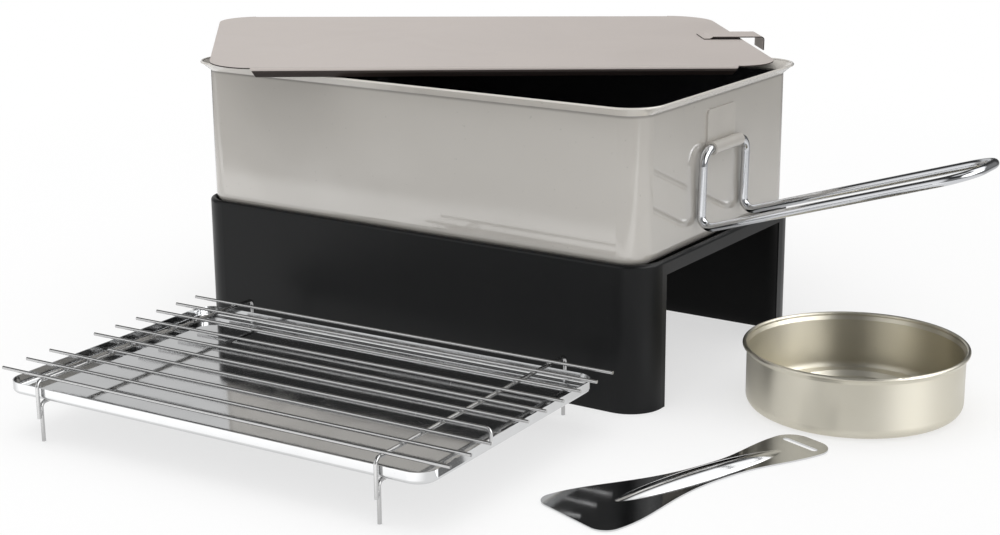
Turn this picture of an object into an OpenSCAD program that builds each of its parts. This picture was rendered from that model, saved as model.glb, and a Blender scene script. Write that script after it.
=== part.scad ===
// Portable stovetop smoker box: a black sheet-steel stand, an enamelled box with a folding wire
// handle, a loose lid, a wire rack that carries a drip tray, a fuel tin and a sheet-metal lifter.
// Millimetres, +Z up, z = 0 is the table. +X points to the open end that faces the handle.

/* [Stand] */
// How far the stand reaches past the box's wall at each end
stand_over_end = 7; // [6:0.5:12]
// How far the stand reaches past the box's wall at each side
stand_over_side = 4; // [4:0.5:8]
// Height of the stand's rim over the table
stand_h = 110; // [80:1:150]
// Outer radius of the stand's upright corners
stand_corner_r = 26; // [24:0.5:34]
// Thickness of the stand's sheet
stand_sheet = 1.2; // [0.8:0.1:1.6]
// Width of the end flange, from the long side's outer face
end_flange = 32; // [28:1:36]
// Height of the rail across each open end
end_rail = 11; // [8:0.5:16]
// Width of the rolled bead round the rim
bead_wid = 5; // [4.6:0.1:5]
// Depth of the seat below the bead's top
seat_depth = 5; // [4.5:0.5:6]
// Width of the seat's ledge
seat_ledge = 16; // [12:0.5:18]
// Depth of the hem under the ledge's inner edge
ledge_hem = 5; // [3:0.5:7]

/* [Smoker box] */
// Outer length of the box's wall
box_len = 404; // [390:1:404]
// Outer width of the box's wall
box_wid = 240; // [225:1:240]
// Height of the box, from its bottom to its rim
box_h = 117.3; // [95:0.5:140]
// Outer radius of the box's upright corners
box_corner_r = 19; // [16:0.5:24]
// Outer radius of the box's bottom edge
box_base_r = 10; // [9.5:0.5:13]
// Thickness of the box's enamelled sheet
box_sheet = 0.9; // [0.7:0.1:1.2]
// How far the rim flares out from the wall
rim_flare = 8; // [6:0.5:10]
// Height of the flare
flare_rise = 7.5; // [6:0.5:10]
// Diameter of the bead along the rim's edge
rim_bead = 1.8; // [1.4:0.1:2.4]

/* [Handle strap] */
// Width of the strap along its sleeve
strap_wid = 44; // [36:1:44]
// Thickness of the strap
strap_sheet = 1.5; // [1.2:0.1:3]
// Height of the strap's plate above the sleeve's axis
strap_rise = 28; // [15:1:32]
// Depth of the sleeve's axis below the rim
hinge_drop = 44.6; // [42:0.5:52]
// Offset of the strap from the box's middle, along Y
strap_off = -1; // [-20:1:20]
// Radial clearance of the wire in the sleeve
sleeve_clear = 0.1; // [0.05:0.01:0.1]

/* [Wire handle] */
// Diameter of the handle's wire
handle_wire = 6.5; // [5:0.1:7]
// Width of the handle between the centres of its two wires
handle_wid = 68.5; // [67:0.5:80]
// Length of the legs, from the sleeve's axis to the grip's line
leg_drop = 58.5; // [50:0.5:62]
// Length of the grip, from the legs to its end
grip_len = 210; // [150:1:240]
// Angle at which the grip rises outward
grip_rise = 17.5; // [5:0.5:25]
// Radius of the bends beside the sleeve
top_bend_r = 11; // [8:0.5:11]
// Radius of the bends between leg and grip
low_bend_r = 7.5; // [6:0.5:12]
// Radius of the bends at the grip's end
grip_end_r = 26; // [15:1:30]
// Gap between the resting leg and the wall
leg_gap = 0.3; // [0.2:0.05:0.5]

/* [Lid] */
// How far the lid reaches past the rim at each end
lid_over_end = 10; // [3:0.5:14]
// How far the lid reaches past the rim at each side
lid_over_side = 14; // [9:0.5:16]
// Radius of the lid's corners
lid_corner_r = 36; // [18:1:48]
// Thickness of the lid's sheet
lid_sheet = 0.9; // [0.7:0.1:1.2]
// Drop of the lips along the lid's sides
lip_drop = 7.5; // [6:0.5:10]
// Distance from the lid's plain end to the lips
lip_inset = 31; // [28:1:50]
// Distance from the lid's tab end to the lips
lip_inset_tab = 35; // [28:1:50]
// Inward slant of the lip's lower half
lip_slant = 3.5; // [1:0.1:4]
// Width of the lifting tab
tab_wid = 30; // [24:1:30]
// Distance of the tab's middle from the lid's middle line
tab_off = 9; // [-20:1:20]
// Distance from the lid's end to the tab's root
tab_root = 28; // [20:1:40]
// Reach of the tab past the lid's end
tab_reach = 19; // [8:0.5:24]
// Height of the tab over the lid
tab_lift = 2.5; // [2:0.5:5]
// Depth of the tab's turned-down end below the lid's top
tab_drop = 9; // [5:0.5:12]

/* [Wire rack] */
// Diameter of the long rods
rod_dia = 2.4; // [2:0.1:3]
// Reach of the long rods past the tray at the left
rod_over_left = 3.5; // [3:0.5:12]
// Reach of the long rods past the tray at the right
rod_over_right = 16; // [8:0.5:20]
// Diameter of the leg frames' wire
frame_wire = 2.8; // [2.4:0.1:3.4]
// Height of the long rods' centres over the table
rod_z = 46; // [44:0.5:60]
// Distance from the tray's ends to the leg frames
frame_inset = 34.6; // [28:0.2:60]
// Gap between the near legs and the tray
tray_near_gap = 1.1; // [1:0.1:4]
// Gap between the tray and the far legs
tray_far_gap = 12.1; // [8:0.1:16]
// Distance from the first rod to the near legs
near_margin = 6; // [5.5:0.5:12]
// Height of the tray supports' centres over the table
support_z = 28; // [24:0.5:29]
// Height at which the upper legs end
leg_end_z = 17; // [10:0.5:19]
// Centre radius of the frames' bends
frame_bend_r = 4; // [3:0.5:6]
// Centre radius of the bend in the rod that stops the tray
stop_bend_r = 4; // [3:0.5:6]
// Drop of that rod's end below the other rods
stop_drop = 9; // [7:0.5:12]

/* [Drip tray] */
// Length of the drip tray
tray_len = 353; // [340:1:353]
// Width of the drip tray
tray_wid = 217; // [205:1:218]
// Height of the drip tray's wall
tray_h = 8.5; // [6:0.5:10]
// Radius of the drip tray's corners
tray_corner_r = 14; // [8:0.5:20]
// Radius of the drip tray's bottom edge
tray_base_r = 3; // [2:0.5:4]
// Thickness of the drip tray's sheet
tray_sheet = 0.7; // [0.5:0.1:1]

/* [Burner tin] */
// Outer diameter of the tin's wall
tin_dia = 155.4; // [130:0.2:160]
// Height of the tin
tin_h = 46.5; // [35:0.5:60]
// Radius of the tin's bottom edge
tin_base_r = 8; // [6:0.5:9.5]
// Thickness of the tin's sheet
tin_sheet = 0.6; // [0.4:0.1:0.9]
// Diameter of the bead rolled round the tin's rim
tin_bead = 3; // [2:0.1:3.6]
// How far the tin's rim flares out from the wall to the bead's middle
tin_flare = 1.6; // [1:0.1:3]
// Height of that flare
tin_flare_h = 4; // [3:0.5:6]
// Distance from the tin's wall to the raised step's top
step_inset = 15.7; // [14:0.1:22]
// Width of the raised step's top
step_wid = 9; // [6:0.5:14]
// Width of the step's sloping sides
step_slope = 3; // [2:0.5:4]
// Height of the raised step
step_h = 8; // [4:0.5:10]
// Depth of the dish inside the step
dish_h = 3.5; // [2:0.5:3.5]

/* [Lifter] */
// Length of the lifter
lifter_len = 217; // [190:1:240]
// Width of the lifter's blade
blade_wid = 69; // [56:1:76]
// Width of the lifter's waist
waist_wid = 25; // [23:0.5:32]
// Width of the lifter's hook end
hook_wid = 43; // [40:1:50]
// Radius of the blade's corners
blade_r = 12; // [8:0.5:16]
// Radius of the hook end's corners
hook_r = 15; // [10:0.5:18]
// Thickness of the lifter's sheet
lifter_sheet = 1; // [0.8:0.1:1.5]
// Length of the raised rib
rib_len = 146; // [110:1:150]
// Width of the raised rib
rib_wid = 20; // [12:0.5:20.5]
// Height of the raised rib over the sheet
rib_h = 4.5; // [2:0.5:6]
// Distance from the rib's middle to the lifter's middle, towards the hook end
rib_back = 8; // [0:1:16]
// Length of the slot that takes the lid's tab
slot_len = 31; // [24:1:33]
// Width of the slot that takes the lid's tab
slot_wid = 4.6; // [2:0.1:5]
// Distance from the hook end to the middle of the slot
slot_inset = 14; // [10:0.5:18]

/* [Layout] */
// Shift of the lid's middle from the box's middle along X
lid_dx = -51; // [-60:0.2:-30]
// Shift of the lid's middle from the box's middle along Y
lid_dy = 58.4; // [30:0.1:60]
// Turn of the loose lid on the box
lid_turn = 40; // [20:0.2:50]
// Shift of the rack's middle from the stand's middle along X
rack_dx = 25.5; // [0:0.5:60]
// Gap between the stand and the rack's rear legs
rack_gap = 25; // [22:1:80]
// Turn of the rack on the table
rack_turn = 2.2; // [0:0.1:4]
// Gap between the stand's end and the burner tin
tin_gap = 32; // [5:1:60]
// Shift of the tin's middle from the stand's middle along Y
tin_dy = -14.5; // [-15:0.5:15]
// Gap between the tin and the lifter's hook end
lifter_gap = 4; // [2:0.5:40]
// Shift of the lifter's middle from the tin's middle along X
lifter_shift = -30; // [-40:1:0]
// Turn of the lifter's blade end from +X
lifter_turn = -109.7; // [-130:0.1:-95]

/* [Hidden] */
$fn = 64;

// Gap left where one loose piece rests on another
rest_gap = 0.3;
// Overlap that joins the stretches of one sheet
join = 0.05;

// Colours
black_coat = [0.10, 0.10, 0.11];
grey_enamel = [0.68, 0.67, 0.64];
taupe_coat = [0.76, 0.73, 0.71];
bright_wire = [0.80, 0.81, 0.83];
bright_sheet = [0.72, 0.73, 0.74];
tinplate = [0.74, 0.72, 0.65];

// Stand
stand_len = box_len + 2 * stand_over_end;
stand_wid = box_wid + 2 * stand_over_side;
seat_z = stand_h - seat_depth;

// Smoker box
box_z = seat_z + rest_gap;
rim_z = box_z + box_h;
rim_len = box_len + 2 * rim_flare;
rim_wid = box_wid + 2 * rim_flare;

// Handle strap and wire handle
sleeve_bore_r = handle_wire / 2 + sleeve_clear;
sleeve_r = sleeve_bore_r + strap_sheet;
hinge_x = box_len / 2 + sleeve_r;
hinge_z = rim_z - hinge_drop;
// The wire swells a little in its tight bends, where the straight lengths run into them
bend_swell = 0.1;
bend_lap = 0.3;
leg_lean = asin((sleeve_r - (handle_wire + bend_swell) / 2 - leg_gap) / leg_drop);

// Lid
lid_len = rim_len + 2 * lid_over_end;
lid_wid = rim_wid + 2 * lid_over_side;
// The lid rests on the rim at three places: its near lip on the front, its far lip on the back,
// and the edge of its tab end on the back again. Their distances from its middle:
lip_half = lid_wid / 2 - lip_slant;
near_u = (lip_half * cos(lid_turn) - rim_wid / 2 - lid_dy) / sin(lid_turn);
far_u = (rim_wid / 2 - lid_dy - lip_half * cos(lid_turn)) / sin(lid_turn);
end_v = (rim_wid / 2 - lid_dy - lid_len / 2 * sin(lid_turn)) / cos(lid_turn);
// How far the lid falls towards its tab end, and how far it rises across, per unit of length
lid_skew = (far_u - near_u) / (2 * lip_half);
lid_fall = (lip_drop - lid_sheet) / (lid_len / 2 - near_u - lid_skew * (end_v + lip_half));
lid_rise = lid_fall * lid_skew;
lid_z = rim_z + rest_gap + lip_drop + lid_fall * near_u + lid_rise * lip_half;
tab_pad = 5;
tab_ramp = 3;
tab_bend_r = 3;

// Rack
rod_count = 10;
stop_rod = 4;
rod_len = rod_over_left + tray_len + rod_over_right;
tray_u = (rod_over_left - rod_over_right) / 2;
frame_left = tray_u - tray_len / 2 + frame_inset;
frame_right = tray_u + tray_len / 2 - frame_inset;
leg_span = tray_wid + tray_near_gap + tray_far_gap + frame_wire;
rod_pitch = (leg_span - near_margin) / rod_count;
first_rod_v = -rod_pitch * (rod_count - 1) / 2;
near_leg_v = first_rod_v - near_margin;
far_leg_v = near_leg_v + leg_span;
// How far crossed wires sink into each other where they are welded
weld_sink = 0.2;
bar_z = rod_z - rod_dia / 2 - frame_wire / 2 + weld_sink;
support_inset = frame_wire - weld_sink;
tray_play = 0.8;
stop_u = tray_u + tray_len / 2 + tray_play + rod_dia / 2;
stop_start_u = frame_left - frame_wire;

// Drip tray
tray_z = support_z + frame_wire / 2 + rest_gap;
tray_v = near_leg_v + frame_wire / 2 + tray_near_gap + tray_wid / 2;

// Burner tin
step_r = tin_dia / 2 - step_inset;
dish_r = step_r - step_wid - step_slope;

// Layout
rack_dy = -(stand_wid / 2 + rack_gap + far_leg_v);
tin_r = tin_dia / 2 + tin_flare + tin_bead / 2;
tin_dx = stand_len / 2 + tin_gap + tin_r;
lifter_mid = 0.48 * lifter_len;
hook_reach = lifter_len - lifter_mid;
lifter_dx = tin_dx + lifter_shift;
lifter_dy = tin_dy - tin_r - lifter_gap - hook_reach * cos(lifter_turn + 90);

// Reach of the whole set from the stand's middle; its centre is put over the origin
lid_half_x = (lid_len / 2 - lid_corner_r) * cos(lid_turn) + (lid_wid / 2 - lid_corner_r) * sin(lid_turn);
lid_half_y = (lid_len / 2 - lid_corner_r) * sin(lid_turn) + (lid_wid / 2 - lid_corner_r) * cos(lid_turn);
reach_left = lid_dx - lid_half_x - lid_corner_r;
reach_right = hinge_x - leg_drop * sin(leg_lean) + grip_len * cos(grip_rise) + handle_wire / 2;
reach_back = lid_dy + lid_half_y + lid_corner_r;
reach_front = rack_dy + frame_left * sin(rack_turn) + near_leg_v * cos(rack_turn) - frame_wire / 2;
stand_x = -(reach_left + reach_right) / 2;
stand_y = -(reach_front + reach_back) / 2;

// A two-dimensional bend of sheet: the part of a ring between two angles, a quarter turn at most
module bend(r_out, r_in, from, to) {
    intersection() {
        difference() {
            circle(r_out);
            circle(r_in);
        }
        polygon([[0, 0], for (a = [from, (from + to) / 2, to]) 2 * r_out * [cos(a), sin(a)]]);
    }
}

// Sweeps a profile round a rectangle with round corners. In the profile, x = r is the outer face
// and y is the height.
module sweep_round_rect(len, wid, r) {
    mid_x = len / 2 - r;
    mid_y = wid / 2 - r;
    for (turn = [0, 180]) {
        rotate([0, 0, turn]) {
            translate([-mid_x, mid_y, 0]) rotate([90, 0, 90]) linear_extrude(2 * mid_x) children();
            translate([mid_x, mid_y, 0]) rotate([90, 0, 0]) linear_extrude(2 * mid_y) children();
            translate([mid_x, mid_y, 0]) rotate_extrude(angle = 90) children();
            translate([-mid_x, mid_y, 0]) rotate([0, 0, 90]) rotate_extrude(angle = 90) children();
        }
    }
}

// A rectangle with round corners
module round_rect(len, wid, r) {
    square([len - 2 * r, wid], center = true);
    square([len, wid - 2 * r], center = true);
    for (sx = [-1, 1], sy = [-1, 1]) {
        translate([sx * (len / 2 - r), sy * (wid / 2 - r)]) circle(r);
    }
}

// A pan profile: round bottom edge and upright wall, with its outer face at x = r
module pan_profile(r, base_r, sheet, top) {
    translate([r - base_r, base_r]) bend(base_r, base_r - sheet, -90, 0);
    translate([r - sheet, base_r - join]) square([sheet, top - base_r + join]);
}

// A straight wire along +X from the origin
module wire(len, dia) {
    rotate([0, 90, 0]) cylinder(h = len, d = dia);
}

// A wire bend in the XY plane that leaves the origin along +X and turns towards +Y
module wire_bend(bend_r, angle, dia) {
    translate([0, bend_r, 0]) rotate([0, 0, -90]) rotate_extrude(angle = angle) translate([bend_r, 0]) circle(d = dia);
}

module stand_profile() {
    r = stand_corner_r;
    bead_r = bead_wid / 2;
    skirt_low = stand_h - end_rail;
    translate([r - stand_sheet, skirt_low]) square([stand_sheet, end_rail - bead_r + join]);
    translate([r - bead_r, stand_h - bead_r]) {
        bend(bead_r, bead_r - stand_sheet, 0, 90);
        bend(bead_r, bead_r - stand_sheet, 90, 180);
    }
    translate([r - bead_wid, seat_z - stand_sheet]) {
        square([stand_sheet, seat_depth + stand_sheet - bead_r + join]);
    }
    translate([r - bead_wid - seat_ledge, seat_z - stand_sheet]) {
        square([seat_ledge + join, stand_sheet]);
    }
    translate([r - bead_wid - seat_ledge, seat_z - ledge_hem]) square([stand_sheet, ledge_hem]);
}

// One pressed sheet: rim and seat all round, long walls that wrap the corners, both ends open
module stand() {
    wall_top = stand_h - end_rail + join;
    color(black_coat) translate([stand_x, stand_y, 0]) {
        sweep_round_rect(stand_len, stand_wid, stand_corner_r) stand_profile();
        difference() {
            linear_extrude(wall_top) difference() {
                round_rect(stand_len, stand_wid, stand_corner_r);
                round_rect(stand_len - 2 * stand_sheet, stand_wid - 2 * stand_sheet,
                    stand_corner_r - stand_sheet);
            }
            translate([-stand_len, -(stand_wid / 2 - end_flange), -1]) {
                cube([2 * stand_len, stand_wid - 2 * end_flange, stand_h]);
            }
        }
    }
}

module box_profile() {
    r = box_corner_r;
    flare_z = box_h - flare_rise;
    bead_r = rim_bead / 2;
    // The flare leaves the wall at a crease and ends in a small bead
    out = rim_flare - bead_r;
    up = flare_rise - bead_r;
    slant = atan2(out, up);
    off = box_sheet / 2 * [cos(slant), -sin(slant)];
    pan_profile(r, box_base_r, box_sheet, flare_z);
    polygon([
        [r - box_sheet, flare_z - join], [r, flare_z - join], [r, flare_z],
        [r + out, box_h - bead_r] + off, [r + out, box_h - bead_r] - off,
        [r - box_sheet, flare_z + box_sheet * tan(slant / 2)]
    ]);
    translate([r + out, box_h - bead_r]) circle(bead_r, $fn = 24);
}

module smoker_box() {
    color(grey_enamel) translate([stand_x, stand_y, box_z]) {
        sweep_round_rect(box_len, box_wid, box_corner_r) box_profile();
        linear_extrude(box_sheet) {
            round_rect(box_len - 2 * box_base_r + 2 * join, box_wid - 2 * box_base_r + 2 * join,
                box_corner_r - box_base_r + join);
        }
    }
}

// Welded strap whose lower edge is rolled into a sleeve for the handle
module handle_strap() {
    corner_r = 4;
    color(grey_enamel) translate([stand_x + box_len / 2, stand_y + strap_off, hinge_z]) {
        difference() {
            union() {
                translate([sleeve_r, 0, 0]) rotate([90, 0, 0]) {
                    cylinder(h = strap_wid, r = sleeve_r, center = true);
                }
                rotate([90, 0, 90]) linear_extrude(strap_sheet) {
                    translate([-strap_wid / 2, -sleeve_r]) {
                        square([strap_wid, sleeve_r + strap_rise - corner_r]);
                    }
                    translate([-strap_wid / 2 + corner_r, 0]) {
                        square([strap_wid - 2 * corner_r, strap_rise]);
                    }
                    for (s = [-1, 1]) {
                        translate([s * (strap_wid / 2 - corner_r), strap_rise - corner_r]) {
                            circle(corner_r);
                        }
                    }
                }
            }
            translate([sleeve_r, 0, 0]) rotate([90, 0, 0]) {
                cylinder(h = strap_wid + 2, r = sleeve_bore_r, center = true);
            }
        }
    }
}

// One side of the handle, on +Y, with the sleeve's axis through the origin along Y: bend, leg,
// bend, grip and end bend. Its child starts where the end bend ends and runs along +X.
module handle_side() {
    half = handle_wid / 2;
    turn = 90 + grip_rise + leg_lean;
    low_tangent = low_bend_r * tan(turn / 2);
    leg_run = leg_drop - top_bend_r - low_tangent;
    grip_run = grip_len - low_tangent - grip_end_r;
    translate([0, half - top_bend_r, 0]) rotate([90, 0, 90]) mirror([0, 1, 0]) {
        wire_bend(top_bend_r, 90, handle_wire);
    }
    translate([0, half, -top_bend_r]) rotate([0, 90, 0]) wire(leg_run + bend_lap, handle_wire);
    translate([0, half, -top_bend_r]) translate([0, 0, -leg_run]) rotate([0, 90, 0]) {
        rotate([90, 0, 0]) wire_bend(low_bend_r, turn, handle_wire + bend_swell);
    }
    translate([0, half, -top_bend_r]) translate([0, 0, -leg_run]) translate([low_bend_r, 0, 0]) {
        rotate([0, -(turn - 90), 0]) translate([0, 0, -low_bend_r]) {
            translate([-bend_lap, 0, 0]) wire(grip_run + bend_lap, handle_wire);
            translate([grip_run, 0, 0]) {
                mirror([0, 1, 0]) wire_bend(grip_end_r, 90, handle_wire);
                translate([grip_end_r, -grip_end_r, 0]) rotate([0, 0, -90]) children();
            }
        }
    }
}

module wire_handle() {
    top_run = handle_wid - 2 * top_bend_r;
    color(bright_wire) translate([stand_x + hinge_x, stand_y + strap_off, hinge_z]) {
        rotate([0, leg_lean, 0]) {
            translate([0, -top_run / 2, 0]) rotate([0, 0, 90]) wire(top_run, handle_wire);
            handle_side() wire(handle_wid - 2 * grip_end_r, handle_wire);
            mirror([0, 1, 0]) handle_side();
        }
    }
}

// Side lip: rounded edge, short upright face and a slanted lower half
module lip_profile() {
    edge_r = 2.5;
    knee = -lip_drop / 2;
    translate([-edge_r, -edge_r]) bend(edge_r, edge_r - lid_sheet, 0, 90);
    translate([-lid_sheet, knee]) square([lid_sheet, -knee - edge_r + join]);
    polygon([
        [-lid_sheet, knee + join], [0, knee + join], [0, knee],
        [-lip_slant, -lip_drop], [-lid_sheet - lip_slant, -lip_drop]
    ]);
}

// Tab: a strap welded to the lid that rises, runs out past its end and turns down
module tab_profile() {
    out = lid_len / 2 + tab_reach;
    root = lid_len / 2 - tab_root;
    polygon([
        [root - tab_pad, -join], [root - tab_pad, lid_sheet], [root, lid_sheet],
        [root + tab_ramp, tab_lift], [out - tab_bend_r + join, tab_lift],
        [out - tab_bend_r + join, tab_lift - lid_sheet], [root + tab_ramp, tab_lift - lid_sheet],
        [root, -join]
    ]);
    translate([out - tab_bend_r, tab_lift - tab_bend_r]) {
        bend(tab_bend_r, tab_bend_r - lid_sheet, 0, 90);
    }
    translate([out - lid_sheet, -tab_drop]) {
        square([lid_sheet, tab_drop + tab_lift - tab_bend_r + join]);
    }
}

module lid() {
    edge_r = 2.5;
    lip_from = -lid_len / 2 + lip_inset;
    lip_to = lid_len / 2 - lip_inset_tab;
    lip_cut = 5;
    color(taupe_coat) translate([stand_x + lid_dx, stand_y + lid_dy, lid_z])
    rotate([0, 0, lid_turn]) rotate([atan(lid_rise), atan(lid_fall), 0]) {
        difference() {
            translate([0, 0, -lid_sheet]) linear_extrude(lid_sheet) {
                round_rect(lid_len, lid_wid, lid_corner_r);
            }
            // The lips' rounded edges take the place of the plate's square ones
            for (s = [0, 1]) {
                mirror([0, s, 0]) translate([lip_from, lid_wid / 2 - edge_r, -2]) {
                    cube([lip_to - lip_from, edge_r + 1, 4]);
                }
            }
        }
        for (s = [0, 1]) {
            mirror([0, s, 0]) intersection() {
                translate([lip_from, lid_wid / 2, 0]) rotate([90, 0, 90]) {
                    linear_extrude(lip_to - lip_from) lip_profile();
                }
                // Angled lip ends
                translate([0, lid_wid / 2 + 1, 0]) rotate([90, 0, 0]) linear_extrude(10) polygon([
                    [lip_from, 1], [lip_from, 0], [lip_from + lip_cut, -lip_drop - 1],
                    [lip_to - lip_cut, -lip_drop - 1], [lip_to, 0], [lip_to, 1]
                ]);
            }
        }
        translate([0, tab_off + tab_wid / 2, 0]) rotate([90, 0, 0]) linear_extrude(tab_wid) {
            tab_profile();
        }
    }
}

// Puts a piece into the rack's own frame: x along the rods, y across them, z up
module rack_frame() {
    translate([stand_x + rack_dx, stand_y + rack_dy, 0]) rotate([0, 0, rack_turn]) children();
}

module plain_rod(v) {
    color(bright_wire) rack_frame() translate([-rod_len / 2, v, rod_z]) wire(rod_len, rod_dia);
}

// The rod whose right end turns down and stops the tray
module tray_stop_rod(v) {
    run = stop_u - stop_bend_r - stop_start_u;
    color(bright_wire) rack_frame() translate([stop_start_u, v, rod_z]) {
        wire(run, rod_dia);
        translate([run, 0, 0]) rotate([-90, 0, 0]) wire_bend(stop_bend_r, 90, rod_dia);
        translate([run + stop_bend_r, 0, -stop_bend_r]) rotate([0, 90, 0]) {
            wire(stop_drop - stop_bend_r, rod_dia);
        }
    }
}

module rack_rod(i) {
    v = first_rod_v + rod_pitch * (i - 1);
    if (i == stop_rod) {
        tray_stop_rod(v);
    } else {
        plain_rod(v);
    }
}

// An upside-down U of wire across the rack: a bar at height z and two legs that end at leg_z
module wire_arch(u, near_v, far_v, z, leg_z) {
    bar = far_v - near_v - 2 * frame_bend_r;
    leg = z - frame_bend_r - leg_z;
    color(bright_wire) rack_frame() translate([u, (near_v + far_v) / 2, z]) {
        for (turn = [0, 180]) {
            rotate([0, 0, 90 + turn]) {
                wire(bar / 2, frame_wire);
                translate([bar / 2, 0, 0]) rotate([-90, 0, 0]) wire_bend(frame_bend_r, 90, frame_wire);
                translate([bar / 2 + frame_bend_r, 0, -frame_bend_r]) rotate([0, 90, 0]) {
                    wire(leg, frame_wire);
                }
            }
        }
    }
}

// Upper arch that carries the rods
module leg_frame(u) {
    wire_arch(u, near_leg_v, far_leg_v, bar_z, leg_end_z);
}

// Lower arch inside the upper one: it carries the tray and stands on the table
module tray_support(u) {
    wire_arch(u, near_leg_v + support_inset, far_leg_v - support_inset, support_z, 0);
}

module drip_tray() {
    r = tray_corner_r;
    color(bright_sheet) rack_frame() translate([tray_u, tray_v, tray_z]) {
        sweep_round_rect(tray_len, tray_wid, r) pan_profile(r, tray_base_r, tray_sheet, tray_h);
        linear_extrude(tray_sheet) {
            round_rect(tray_len - 2 * tray_base_r + 2 * join, tray_wid - 2 * tray_base_r + 2 * join,
                r - tray_base_r + join);
        }
    }
}

// Stepped floor of the tin
module tin_floor() {
    low = tin_sheet;
    high = low + step_h;
    dish = high - dish_h;
    edge = tin_dia / 2 - tin_base_r + join;
    rotate_extrude($fn = 96) polygon([
        [0, dish], [dish_r, dish], [dish_r + step_slope, high], [step_r, high],
        [step_r + step_slope, low], [edge, low], [edge, 0], [step_r + step_slope - tin_sheet, 0],
        [step_r - tin_sheet, step_h], [dish_r + step_slope + tin_sheet, step_h],
        [dish_r + tin_sheet, dish - tin_sheet],
        [0, dish - tin_sheet]
    ]);
}

// Tin with a stepped floor, a round bottom edge, an upright wall and a beaded rim
module burner_tin() {
    wall_r = tin_dia / 2;
    bead_r = wall_r + tin_flare;
    bead_z = tin_h - tin_bead / 2;
    flare_z = bead_z - tin_flare_h;
    color(tinplate) translate([stand_x + tin_dx, stand_y + tin_dy, 0]) {
        tin_floor();
        rotate_extrude($fn = 96) translate([wall_r - tin_base_r, tin_base_r]) {
            bend(tin_base_r, tin_base_r - tin_sheet, -90, 0);
        }
        rotate_extrude($fn = 96) polygon([
            [wall_r - tin_sheet, tin_base_r - join], [wall_r, tin_base_r - join], [wall_r, flare_z],
            [bead_r, bead_z], [bead_r - tin_sheet, bead_z], [wall_r - tin_sheet, flare_z]
        ]);
        rotate_extrude($fn = 96) translate([bead_r, bead_z]) circle(d = tin_bead, $fn = 32);
    }
}

// Smooth step from 0 to 1
function ease(t) = (1 - cos(180 * min(1, max(0, t)))) / 2;

// Half width of the lifter's waist curve at the distance u from its middle, blade end at +u
function lifter_half(u) =
    let (
        blade_u = lifter_mid - blade_r,
        hook_u = lifter_mid - lifter_len + hook_r,
        waist_u = hook_u + 0.31 * lifter_len,
        out = u > waist_u ? (u - waist_u) / (blade_u - waist_u) : (waist_u - u) / (waist_u - hook_u),
        end_wid = u > waist_u ? blade_wid : hook_wid
    )
    waist_wid / 2 + (end_wid - waist_wid) / 2 * ease(u > waist_u ? pow(out, 1.35) : out);

// Outline of the lifter: two waist curves and four round corners
module lifter_outline() {
    from = lifter_mid - lifter_len + hook_r;
    to = lifter_mid - blade_r;
    n = 28;
    stations = [for (k = [0 : n]) from + (to - from) * k / n];
    polygon(concat(
        [for (u = stations) [u, lifter_half(u)]],
        [for (k = [n : -1 : 0]) [stations[k], -lifter_half(stations[k])]]
    ));
    for (s = [-1, 1]) {
        translate([from, s * (hook_wid / 2 - hook_r)]) circle(hook_r);
        translate([to, s * (blade_wid / 2 - blade_r)]) circle(blade_r);
    }
    translate([from - hook_r, -hook_wid / 2 + hook_r]) square([hook_r + join, hook_wid - 2 * hook_r]);
    translate([to - join, -blade_wid / 2 + blade_r]) square([blade_r + join, blade_wid - 2 * blade_r]);
}

// A long oval dome. Where it meets the sheet's top it is as long and wide as the rib; inset makes
// the smaller one inside it.
module rib_dome(inset) {
    sink = rib_h;
    cut = sqrt(1 - pow(sink / (rib_h + sink), 2));
    translate([-rib_back, 0, lifter_sheet - sink]) {
        scale([rib_len / 2 / cut - inset, rib_wid / 2 / cut - inset, rib_h + sink - inset]) {
            sphere(1, $fn = 48);
        }
    }
}

// A cutter with round ends that lies across the lifter
module slot_cutter(len, wid) {
    linear_extrude(3 * lifter_sheet, center = true) {
        square([wid, len - wid], center = true);
        for (s = [-1, 1]) translate([0, s * (len - wid) / 2]) circle(d = wid, $fn = 16);
    }
}

// One pressed sheet with a hollow raised rib and a slot that takes the lid's tab
module lifter() {
    color(bright_sheet) translate([stand_x + lifter_dx, stand_y + lifter_dy, 0]) {
        rotate([0, 0, lifter_turn]) difference() {
            union() {
                linear_extrude(lifter_sheet) lifter_outline();
                intersection() {
                    rib_dome(0);
                    translate([-lifter_len, -blade_wid, lifter_sheet / 2]) {
                        cube([2 * lifter_len, 2 * blade_wid, 2 * rib_h]);
                    }
                }
            }
            rib_dome(lifter_sheet);
            translate([lifter_mid - lifter_len + slot_inset, 0, 0]) slot_cutter(slot_len, slot_wid);
        }
    }
}

stand();
smoker_box();
handle_strap();
wire_handle();
lid();
for (i = [1 : rod_count]) {
    rack_rod(i);
}
leg_frame(frame_left);  // rack_leg_frame_left
leg_frame(frame_right);  // rack_leg_frame_right
tray_support(frame_left);  // tray_support_left
tray_support(frame_right);  // tray_support_right
drip_tray();
burner_tin();
lifter();
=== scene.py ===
"""Studio scene of a stovetop smoker set: finishes, weld detail, stage, lights and camera."""

import math

import bmesh
import bpy
from bpy.props import FloatProperty, FloatVectorProperty, PointerProperty
from mathutils import Matrix, Vector, noise


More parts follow.
